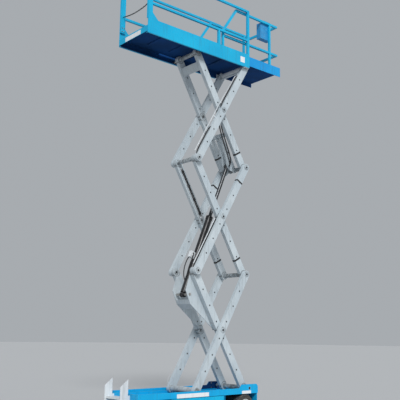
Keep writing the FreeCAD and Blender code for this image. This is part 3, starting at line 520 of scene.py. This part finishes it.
def finishNodes():
    places = pinPlaces()
    for node, name in chosenFinish.items():
        setFinish(node, finishes[name])
    for node, pins in armPins.items():
        ends = [places[pin] for pin in pins]
        # Arms in grey paint, with grease round the pins, painted shade in the cable holes and painted shadow rings on
        # the inner arms
        setFinish(node, paintedSteel(node + "Paint", greyPaint, pins=ends, arm=(ends[0], ends[2]),
                                     paintShadowRings=node.startswith("inner")))
    finishChassis()
    finishPlatform()
    for end in ("rear", "front"):
        for side in ("left", "right"):
            wheel = "%s_%s" % (end, side)
            setFinish("rim_" + wheel, finishes["rim"])
            setFinish("tyre_" + wheel, tyreRubber("rubber_" + wheel, pivots["wheel_" + wheel]))


# Small tools for bmesh
def towards(direction, place):
    turn = Vector((0, 0, 1)).rotation_difference(Vector(direction)).to_matrix().to_4x4()
    return Matrix.Translation(place) @ turn


def addPiece(name, shape, body, material, smooth=False):
    bmesh.ops.recalc_face_normals(shape, faces=shape.faces)
    mesh = bpy.data.meshes.new(name)
    shape.to_mesh(mesh)
    shape.free()
    mesh.materials.append(material)
    for face in mesh.polygons:
        face.use_smooth = smooth
    piece = bpy.data.objects.new(name, mesh)
    bpy.context.scene.collection.objects.link(piece)
    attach(piece, body)
    return piece


def addDisc(shape, place, direction, radius, height, sides=20, chamfer=0.0):
    # A turned disc that stands on a face, with its outer rim chamfered.
    way = Vector(direction).normalized()
    base = Vector(place)
    made = bmesh.ops.create_cone(shape, cap_ends=True, segments=sides, radius1=radius, radius2=radius,
                                 depth=height, matrix=towards(way, base + way * height / 2))
    if chamfer:
        top = {vert for vert in made["verts"] if (vert.co - base).dot(way) > height * 0.9}
        rim = [edge for edge in {edge for vert in top for edge in vert.link_edges} if set(edge.verts) <= top]
        bmesh.ops.bevel(shape, geom=rim, offset=chamfer, segments=2, affect="EDGES", profile=0.5, material=-1)


def addBolt(shape, place, direction, size):
    # Washer and hexagon head, with size across the flats.
    way = Vector(direction).normalized()
    base = Vector(place)
    addDisc(shape, base, way, size * 0.62, size * 0.12, 16)
    addDisc(shape, base + way * size * 0.12, way, size * 0.56, size * 0.42, 6, size * 0.06)


def addBlock(shape, low, high, chamfer):
    low, high = Vector(low), Vector(high)
    size = high - low
    scale = Matrix.Diagonal((size.x, size.y, size.z, 1))
    made = bmesh.ops.create_cube(shape, size=1, matrix=Matrix.Translation((low + high) / 2) @ scale)
    rim = {edge for vert in made["verts"] for edge in vert.link_edges}
    bmesh.ops.bevel(shape, geom=list(rim), offset=chamfer, segments=2, affect="EDGES", profile=0.5, material=-1)


def addHose(name, points, radius, body, material):
    curve = bpy.data.curves.new(name, "CURVE")
    curve.dimensions = "3D"
    curve.bevel_depth = radius
    curve.bevel_resolution = 3
    curve.resolution_u = 8
    curve.use_fill_caps = True
    line = curve.splines.new("NURBS")
    line.points.add(len(points) - 1)
    for point, place in zip(line.points, points):
        point.co = (*place, 1)
    line.order_u = 3
    line.use_endpoint_u = True
    curve.materials.append(material)
    piece = bpy.data.objects.new(name, curve)
    bpy.context.scene.collection.objects.link(piece)
    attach(piece, body)
    return piece


# Dark keeper plates and screws on the mast's pin heads
pinKeepers = {
    "outer_1": ("R1", "C1"),
    "outer_2": ("L1", "C2", "R2"),
    "outer_3": ("L2", "C3"),
    "headFace": 0.348, "plate": 0.0175, "thick": 0.0035, "screw": 0.012,
}


def makePinKeepers():
    places = pinPlaces()
    face, thick = pinKeepers["headFace"], pinKeepers["thick"]
    for body in ("outer_1", "outer_2", "outer_3"):
        shape = bmesh.new()
        for pin in pinKeepers[body]:
            x, z = places[pin]
            for side in (-1, 1):
                addDisc(shape, (x, side * face, z), (0, side, 0), pinKeepers["plate"], thick, 24, 0.001)
                addBolt(shape, (x, side * (face + thick), z), (0, side, 0), pinKeepers["screw"])
        addPiece("pinKeepers_" + body, shape, body, finishes["black"])


# Rubber plugs, set back in the arms' cable holes, on both faces of each arm
armPlugs = {"radius": 0.0107, "thick": 0.003, "setBack": 0.0025, "outer": (0.342, 0.2785), "inner": (0.2705, 0.207)}


def makeArmPlugs():
    places = pinPlaces()
    for arm, pins in armPins.items():
        kind = arm.split("_arm_")[0]
        first, last = Vector(places[pins[0]]), Vector(places[pins[2]])
        middle, way = (first + last) / 2, (last - first).normalized()
        shape = bmesh.new()
        for place in armHoleLook["places"]:
            for end in (-1, 1):
                spot = middle + way * place * end
                for side in (-1, 1):
                    for face, out in zip(armPlugs[kind], (side, -side)):
                        y = side * face - out * armPlugs["setBack"]
                        addDisc(shape, (spot.x, y, spot.y), (0, -out, 0), armPlugs["radius"], armPlugs["thick"], 16)
        addPiece("plugs_" + arm, shape, arm.replace("_arm_", "_"), finishes["hose"])


# Black straps round the arms, which hold the cables inside them
armStraps = {
    "inner_arm_2": (0.135,), "inner_arm_3": (0.130,), "outer_arm_2": (0.848,),
    "width": 0.030, "proud": 0.0016, "outer": (0.2785, 0.342), "inner": (0.207, 0.2705),
}


def makeArmStraps():
    places = pinPlaces()
    proud = armStraps["proud"]
    for arm in ("inner_arm_2", "inner_arm_3", "outer_arm_2"):
        pins = armPins[arm]
        start, end = places[pins[0]], places[pins[2]]
        half = armStraps["width"] / 2 / (Vector(end) - Vector(start)).length
        inside, outside = armStraps[arm.split("_arm_")[0]]
        shape = bmesh.new()
        for share in armStraps[arm]:
            for side in (-1, 1):
                faces = sorted((side * (inside - proud), side * (outside + proud)))
                alongArm(shape, start, end, (share - half, share + half), (-0.0635 - proud, 0.0635 + proud),
                         faces, 0.001)
        addPiece("straps_" + arm, shape, arm.replace("_arm_", "_"), finishes["hose"])


# Wheel nuts and hub caps
wheelParts = {"nuts": 5, "nutCircle": 0.080, "nutSize": 0.019, "discFace": 0.357, "hubFace": 0.379, "capRadius": 0.042}


def makeWheelParts():
    for end in ("rear", "front"):
        for side, sign in (("left", 1), ("right", -1)):
            wheel = "wheel_%s_%s" % (end, side)
            centre = pivots[wheel]
            shape = bmesh.new()
            for count in range(wheelParts["nuts"]):
                turn = math.tau * count / wheelParts["nuts"]
                x = centre.x + wheelParts["nutCircle"] * math.cos(turn)
                z = centre.z + wheelParts["nutCircle"] * math.sin(turn)
                addBolt(shape, (x, sign * wheelParts["discFace"], z), (0, sign, 0), wheelParts["nutSize"])
            addPiece("nuts_" + wheel, shape, wheel, finishes["bolt"])
            shape = bmesh.new()
            addDisc(shape, (centre.x, sign * wheelParts["hubFace"], centre.z), (0, sign, 0),
                    wheelParts["capRadius"], 0.014, 28, 0.005)
            addPiece("hubCap_" + wheel, shape, wheel, finishes["black"], True)


# Two chains of real links across the entry
chainLook = {"pitch": 0.036, "wire": 0.0044, "round": 0.0082, "straight": 0.0105}


def linkShape(shape, place, along, across):
    # A turned ring of wire, pulled out into a link.
    ring = bmesh.new()
    section = bmesh.ops.create_circle(ring, segments=6, radius=chainLook["wire"],
                                      matrix=Matrix.Translation((chainLook["round"], 0, 0))
                                      @ Matrix.Rotation(math.pi / 2, 4, "X"))
    rim = list({edge for vert in section["verts"] for edge in vert.link_edges})
    bmesh.ops.spin(ring, geom=rim + section["verts"], cent=(0, 0, 0), axis=(0, 0, 1), angle=math.tau, steps=12,
                   use_merge=True)
    bmesh.ops.remove_doubles(ring, verts=ring.verts, dist=0.00001)
    for vert in ring.verts:
        vert.co.x += chainLook["straight"] * (1 if vert.co.x > 0.0001 else -1 if vert.co.x < -0.0001 else 0)
    way = Vector(along).normalized()
    flat = Vector(across).normalized()
    turn = Matrix((way, flat, way.cross(flat))).transposed().to_4x4()
    bmesh.ops.transform(ring, matrix=Matrix.Translation(place) @ turn, verts=ring.verts)
    part = bpy.data.meshes.new("link")
    ring.to_mesh(part)
    ring.free()
    shape.from_mesh(part)
    bpy.data.meshes.remove(part)


def makeChains():
    low, high = (Vector(corner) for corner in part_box("entry_chain"))
    x = (low.x + high.x) / 2
    half = high.y
    sag = 0.045
    shape = bmesh.new()
    for top in (high.z - 0.006, high.z - 0.006 - (high.z - low.z - 0.012 - sag)):
        count = round(2 * half / chainLook["pitch"])
        for number in range(count):
            y = -half + (number + 0.5) * 2 * half / count
            share = y / half
            slope = 2 * sag * share / half
            place = (x, y, top - sag * (1 - share * share))
            along = Vector((0, 1, slope))
            across = Vector((1, 0, 0)) if number % 2 else along.cross(Vector((1, 0, 0)))
            linkShape(shape, place, along, across)
    chain = addPiece("entryChainLinks", shape, "platform", finishes["black"], True)
    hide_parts("entry_chain")


# The platform control box: console, lever, stop button and switches
console = {"slope": 0.02, "lever": 0.055, "button": 0.019}


def makeConsole():
    low, high = (Vector(corner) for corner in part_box("control_box"))
    inner = high.y
    top = high.z - 0.044
    shape = bmesh.new()
    addBlock(shape, (low.x + 0.02, inner - 0.090, top - 0.004), (high.x - 0.02, inner - 0.012, top + 0.010), 0.004)
    addPiece("consoleTop", shape, "slide", finishes["darkPlastic"])
    shape = bmesh.new()
    middle = Vector(((low.x + high.x) / 2 + 0.05, inner - 0.050, top + 0.010))
    addDisc(shape, middle, (0, 0, 1), 0.026, 0.006, 24, 0.002)
    addDisc(shape, middle, (0.1, 0, 1), 0.019, 0.014, 20, 0.004)
    addDisc(shape, middle, (0.1, 0, 1), 0.010, console["lever"] - 0.020, 16, 0.003)
    addPiece("consoleLever", shape, "slide", finishes["darkPlastic"], True)
    shape = bmesh.new()
    stop = Vector((low.x + 0.060, inner - 0.050, top + 0.010))
    addDisc(shape, stop, (0, 0, 1), 0.011, 0.012, 20)
    addDisc(shape, stop + Vector((0, 0, 0.010)), (0, 0, 1), console["button"], 0.010, 28, 0.004)
    addPiece("consoleStop", shape, "slide", finishes["redPlastic"], True)
    shape = bmesh.new()
    for offset in (-0.012, 0.014, 0.040):
        place = Vector(((low.x + high.x) / 2 - 0.02 + offset, inner - 0.072, top + 0.010))
        addDisc(shape, place, (0, 0, 1), 0.007, 0.004, 16, 0.001)
        addDisc(shape, place, (0.25, 0, 1), 0.0035, 0.016, 10, 0.001)
    addPiece("consoleSwitches", shape, "slide", finishes["bolt"])


# Bolts on the platform's posts and sliding rails, and on the chassis brackets
def makeFrameBolts():
    low, high = (Vector(corner) for corner in panelBox)
    shape = bmesh.new()
    for side in (-1, 1):
        face = side * 0.367
        for x in (low.x + 0.025, low.x + 0.065, high.x - 0.035):
            for rise in (0.030, 0.090):
                addBolt(shape, (x, face, high.z + rise), (0, -side, 0), 0.015)
    addPiece("postBolts", shape, "platform", finishes["bolt"])
    railLow, railHigh = (Vector(corner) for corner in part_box("slide_rails"))
    shape = bmesh.new()
    for side in (-1, 1):
        for x in (railLow.x + 0.019, railHigh.x - 0.201):
            for rise in (0.030, 0.075):
                addBolt(shape, (x, side * 0.322, railLow.z + rise), (0, -side, 0), 0.014)
    addPiece("railBolts", shape, "slide", finishes["bolt"])
    front = pivots["mast_lift"]
    shape = bmesh.new()
    for side in (-1, 1):
        for dx, dz in ((-0.130, 0.035), (-0.130, -0.035), (0.130, 0.035), (0.130, -0.035)):
            addBolt(shape, (front.x + dx, side * 0.397, front.z + dz), (0, -side, 0), 0.018)
    addPiece("bracketBolts", shape, "chassis", finishes["bolt"])


# Hoses and cables along the arms, in their trays
hoseRuns = {
    "hose": 0.0078, "cable": 0.0105, "armHalf": 0.0635,
    "trayShares": (0.52, 0.955), "trayHoses": (0.52, 0.535, 0.62, 0.72, 0.82, 0.90, 0.935, 0.955),
    "trayClips": (0.56, 0.68, 0.80, 0.92),
}
# The guard bar on the near outer arm 3, by share of the arm and distance from its middle line
guardBar = {
    "path": ((0.030, 0.107), (0.545, 0.107), (0.860, 0.084)), "half": 0.0045, "faces": (-0.298, -0.281),
    "stays": ((0.10, 0.107), (0.24, 0.107), (0.40, 0.107), (0.545, 0.107), (0.70, 0.0957)),
    "cables": (((0.012, 0.050), (0.026, 0.078), (0.10, 0.084), (0.17, 0.081), (0.24, 0.083), (0.285, 0.074),
                (0.305, 0.050)),
               ((0.50, 0.050), (0.515, 0.074), (0.56, 0.083), (0.64, 0.081), (0.73, 0.078), (0.82, 0.0755),
                (0.855, 0.070), (0.870, 0.052))),
    "cableY": -0.310,
}
# A thin rubber-edged plate on the near outer arm 2, in the gap beside the inner arms
guardPlate = {"shares": (0.035, 0.455), "rubber": (0.058, 0.088), "rim": (0.088, 0.1035), "faces": (-0.2772, -0.2742)}
# Loose black hoses from the top arms' crossing down to the cylinder's head
headHoses = (
    ((0.475, 0.015, -0.222), (0.43, 0.065, -0.192), (0.38, 0.105, -0.190), (0.30, 0.132, -0.189),
     (0.22, 0.152, -0.188), (0.14, 0.168, -0.186), (0.085, 0.172, -0.172), (0.062, 0.150, -0.125),
     (0.056, 0.115, -0.070), (0.0557, 0.105, -0.030)),
    ((0.465, 0.000, -0.222), (0.41, 0.040, -0.193), (0.35, 0.070, -0.191), (0.27, 0.088, -0.190),
     (0.19, 0.104, -0.188), (0.13, 0.112, -0.180), (0.095, 0.116, -0.155), (0.070, 0.112, -0.110),
     (0.058, 0.106, -0.065), (0.0557, 0.105, -0.030)),
)


def armPoint(start, end, share, out):
    # A place along an arm in side view, and out from its middle line towards the underside.
    first, last = Vector(start), Vector(end)
    way = (last - first).normalized()
    under = Vector((way.y, -way.x))
    spot = first.lerp(last, share) + under * out
    return spot.x, spot.y


def joinInto(shape, part):
    mesh = bpy.data.meshes.new("part")
    part.to_mesh(mesh)
    part.free()
    shape.from_mesh(mesh)
    bpy.data.meshes.remove(mesh)


def alongArm(shape, start, end, shares, outs, faces, chamfer=0.002):
    # A bar laid along an arm, between two shares of its length.
    first, last = Vector(start), Vector(end)
    way = (last - first).normalized()
    length = (last - first).length
    bar = bmesh.new()
    addBlock(bar, (shares[0] * length, faces[0], outs[0]), (shares[1] * length, faces[1], outs[1]), chamfer)
    place = Matrix.Translation((first.x, 0, first.y)) @ Matrix.Rotation(-math.atan2(way.y, way.x), 4, "Y")
    bmesh.ops.transform(bar, matrix=place, verts=bar.verts)
    joinInto(shape, bar)


def makeHoseTray():
    places = pinPlaces()
    low, high = places["R1"], places["L2"]
    shape = bmesh.new()
    alongArm(shape, low, high, hoseRuns["trayShares"], (-0.028, 0.028), (0.195, 0.207))
    addPiece("hoseTray", shape, "inner_2", finishes["pale"])
    for number, out in enumerate((-0.013, 0.013)):
        points = []
        for share in hoseRuns["trayHoses"]:
            x, z = armPoint(low, high, share, out)
            points.append((x, 0.187 if 0.53 < share < 0.95 else 0.215, z))
        addHose("trayHose_%d" % (number + 1), points, hoseRuns["hose"], "inner_2", finishes["hose"])
    shape = bmesh.new()
    for share in hoseRuns["trayClips"]:
        alongArm(shape, low, high, (share - 0.006, share + 0.006), (-0.026, 0.026), (0.1775, 0.196))
    addPiece("hoseClips", shape, "inner_2", finishes["darkPlastic"])


def makeGuardBar():
    places = pinPlaces()
    low, high = places["L2"], places["R3"]
    length = (Vector(high) - Vector(low)).length
    half, faces = guardBar["half"], guardBar["faces"]
    shape = bmesh.new()
    spots = [Vector(armPoint(low, high, share, -out)) for share, out in guardBar["path"]]
    for first, last in zip(spots, spots[1:]):
        alongArm(shape, first, last, (0, 1), (-half, half), faces, 0.0015)
    for share, out in guardBar["stays"]:
        wide = 0.009 / length
        alongArm(shape, low, high, (share - wide, share + wide), (hoseRuns["armHalf"] - 0.002, out),
                 (faces[0] - 0.004, faces[0] + 0.001), 0.001)
    addPiece("guardBar", shape, "outer_3", finishes["pale"])
    for number, route in enumerate(guardBar["cables"]):
        points = []
        for share, out in route:
            x, z = armPoint(low, high, share, -out)
            points.append((x, guardBar["cableY"], z))
        name = "armCable_%d" % (number + 1)
        addHose(name, points, hoseRuns["cable"], "outer_3", finishes["hose"])


def makeGuardPlate():
    places = pinPlaces()
    low, high = places["L1"], places["R2"]
    for name, outs, finish, slot in (("guardRubber", "rubber", "hose", "black_paint"),
                                     ("guardRim", "rim", "pale", "grey_paint")):
        shape = bmesh.new()
        alongArm(shape, low, high, guardPlate["shares"], guardPlate[outs], guardPlate["faces"], 0.0006)
        addPiece(name, shape, "outer_2", finishes[finish])


def makeHeadHoses():
    places = pinPlaces()
    low, high = places["R2"], places["L3"]
    for number, route in enumerate(headHoses):
        points = []
        for share, out, y in route:
            x, z = armPoint(low, high, share, -out)
            points.append((x, y, z))
        addHose("headHose_%d" % (number + 1), points, hoseRuns["cable"], "inner_3", finishes["hose"])


# A light earth wire that hangs beside the far foot of the mast
footWire = {"radius": 0.0042, "side": 0.3395, "points": (
    (0.085, 0.200), (0.066, 0.214), (0.036, 0.220), (0.004, 0.200), (-0.022, 0.150), (-0.034, 0.105),
    (-0.022, 0.072), (0.004, 0.054))}


def makeFootWire():
    foot = pinPlaces()["L0"]
    points = [[foot[0] + x, footWire["side"] + 0.008, foot[1] + z] for x, z in footWire["points"]]
    for point in (points[0], points[-1]):
        point[1] = footWire["side"] - 0.008
    addHose("footWire", points, footWire["radius"], "outer_1", finishes["wire"])


# Valve block, ports and hoses at the foot of the lift cylinder
valve = {"rise": (0.62, 0.73), "back": -0.096, "half": (0.046, 0.030), "ports": (0.645, 0.700), "portOut": 0.030}
# Each hose's drop from its port, its way out sideways and its share of the block's distance from the barrel
valveHoses = {"radius": 0.0085, "path": ((0.0, 0.046, 1.0), (0.02, 0.060, 1.04), (0.10, 0.066, 1.14), (0.20, 0.060, 1.16),
                                         (0.30, 0.045, 1.02), (0.37, 0.028, 0.78), (0.42, 0.015, 0.46))}
barrelBands = {"rises": (0.30, 0.72, 1.08), "radii": (0.0540, 0.0572), "length": 0.020}


def makeCylinderParts():
    foot = pivots["lift_foot"]
    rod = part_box("lift_rod")
    head = Vector((rod[1][0] - 0.042, 0, rod[1][2] - 0.042))
    way = (head - foot).normalized()
    side = Vector((0, -1, 0))
    back = way.cross(side).normalized() * valve["back"]
    deep, wide = valve["half"]
    shape = bmesh.new()
    block = bmesh.new()
    addBlock(block, (-deep, -wide, valve["rise"][0]), (deep, wide, valve["rise"][1]), 0.004)
    turn = Matrix((side.cross(way), side, way)).transposed().to_4x4()
    bmesh.ops.transform(block, matrix=Matrix.Translation(foot + back) @ turn, verts=block.verts)
    joinInto(shape, block)
    addPiece("valveBlock", shape, "lift_barrel", finishes["pale"])
    shape = bmesh.new()
    for rise in valve["ports"]:
        for end in (-1, 1):
            place = foot + way * rise + back + side * valve["portOut"] * end
            addDisc(shape, place, side * end, 0.013, 0.010, 6, 0.001)
            addDisc(shape, place + side * end * 0.010, side * end, 0.009, 0.014, 16, 0.002)
    addPiece("valvePorts", shape, "lift_barrel", finishes["bolt"])
    for number, rise in enumerate(valve["ports"]):
        points = []
        for drop, out, reach in valveHoses["path"]:
            spot = foot + way * (rise - drop) + back * reach + side * out * (1 if number else -1)
            points.append(tuple(spot))
        addHose("valveHose_%d" % (number + 1), points, valveHoses["radius"], "lift_barrel", finishes["hose"])
    shape = bmesh.new()
    inside, outside = barrelBands["radii"]
    section = (Matrix.Translation(((inside + outside) / 2, 0, 0)) @ Matrix.Rotation(math.pi / 2, 4, "X")
               @ Matrix.Diagonal((outside - inside, barrelBands["length"], 1, 1)))
    for rise in barrelBands["rises"]:
        ring = bmesh.new()
        bmesh.ops.create_grid(ring, x_segments=1, y_segments=1, size=0.5, matrix=section)
        bmesh.ops.delete(ring, geom=ring.faces, context="FACES_ONLY")
        bmesh.ops.spin(ring, geom=list(ring.verts) + list(ring.edges), cent=(0, 0, 0), axis=(0, 0, 1),
                       angle=math.tau, steps=40, use_merge=True)
        bmesh.ops.remove_doubles(ring, verts=ring.verts, dist=0.00001)
        bmesh.ops.transform(ring, matrix=Matrix.Translation(foot + way * rise) @ turn, verts=ring.verts)
        joinInto(shape, ring)
    addPiece("barrelBands", shape, "lift_barrel", finishes["black"])


# Dark louvres on the trays' outer sides
trayVents = {"count": 7, "pitch": 0.026, "height": 0.012, "length": 0.30, "proud": 0.0014, "chamfer": 0.0006}


def makeTrayVents():
    for side, sign in (("right", -1), ("left", 1)):
        low, high = (Vector(corner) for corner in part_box("tray_" + side))
        face = high.y if sign > 0 else low.y
        start = low.x + 0.20
        shape = bmesh.new()
        for number in range(trayVents["count"]):
            z = low.z + 0.045 + number * trayVents["pitch"]
            faces = sorted((face - sign * trayVents["proud"], face + sign * trayVents["proud"]))
            addBlock(shape, (start, faces[0], z), (start + trayVents["length"], faces[1], z + trayVents["height"]),
                     trayVents["chamfer"])
        addPiece("trayVents_" + side, shape, "tray_" + side, finishes["darkPlastic"])


# Hoses and a junction block on the front deck, between the mast's feet
deckHoses = {"radius": 0.0095, "starts": (-0.10, -0.05, 0.0, 0.05), "level": 0.4105}


def makeDeckHoses():
    front = pivots["mast_lift"]
    level = deckHoses["level"]
    shape = bmesh.new()
    addBlock(shape, (front.x + 0.085, -0.150, level - 0.010), (front.x + 0.150, 0.090, level + 0.048), 0.005)
    addPiece("junctionBlock", shape, "chassis", finishes["black"])
    for number, y in enumerate(deckHoses["starts"]):
        spread = 0.010 * math.sin(2.1 * number)
        points = [(front.x + 0.10, y, level + 0.030), (front.x + 0.065, y, level + 0.032),
                  (front.x + 0.01, y + spread, level + 0.016), (front.x - 0.06, y + 2 * spread, level + 0.011),
                  (front.x - 0.13, y + spread, level + 0.010), (front.x - 0.175, y, level + 0.006),
                  (front.x - 0.190, y, level - 0.003), (front.x - 0.196, y, level - 0.015)]
        addHose("deckHose_%d" % (number + 1), points, deckHoses["radius"], "chassis", finishes["hose"])


finishes = {
    "blue": paintedSteel("blueEnamel", bluePaint),
    "pale": paintedSteel("paleEnamel", palePaint),
    "rim": paintedSteel("rimEnamel", rimPaint),
    # Pin heads in grey paint, with painted shade in each centre recess
    "pins": paintedSteel("pinHeadPaint", greyPaint, recessShades=list(pinPlaces().values())),
    "black": paintedSteel("blackEnamel", blackPaint),
    "steel": bareMetal("pinSteel", steelLook),
    "chrome": bareMetal("hardChrome", chromeLook),
    "bolt": bareMetal("boltZinc", boltLook),
    "battery": mouldedPlastic("batteryCase", (0.035, 0.036, 0.040, 1), (0.020, 0.020, 0.022, 1)),
    "box": mouldedPlastic("controlCase", (0.020, 0.300, 0.620, 1), (0.014, 0.240, 0.540, 1)),
    "darkPlastic": mouldedPlastic("darkPlastic", (0.030, 0.031, 0.034, 1), (0.016, 0.016, 0.018, 1)),
    "redPlastic": mouldedPlastic("redPlastic", (0.62, 0.020, 0.016, 1), (0.50, 0.014, 0.012, 1), (0.25, 0.4)),
    "hose": mouldedPlastic("hoseRubber", (0.018, 0.018, 0.020, 1), (0.009, 0.009, 0.010, 1), (0.5, 0.7), 320),
    "wire": mouldedPlastic("wireSleeve", (0.62, 0.64, 0.66, 1), (0.50, 0.52, 0.54, 1), (0.4, 0.6), 320),
}

makeCamera()
makeStudio()
print("camera and studio ready")
finishNodes()
print("finishes ready")
makePinKeepers()
makeArmPlugs()
makeArmStraps()
makeWheelParts()
makeFrameBolts()
print("fasteners ready")
makeChains()
makeConsole()
makeHoseTray()
makeGuardBar()
makeGuardPlate()
makeHeadHoses()
makeFootWire()
makeCylinderParts()
makeDeckHoses()
makeTrayVents()
print("chains, console and hoses ready")
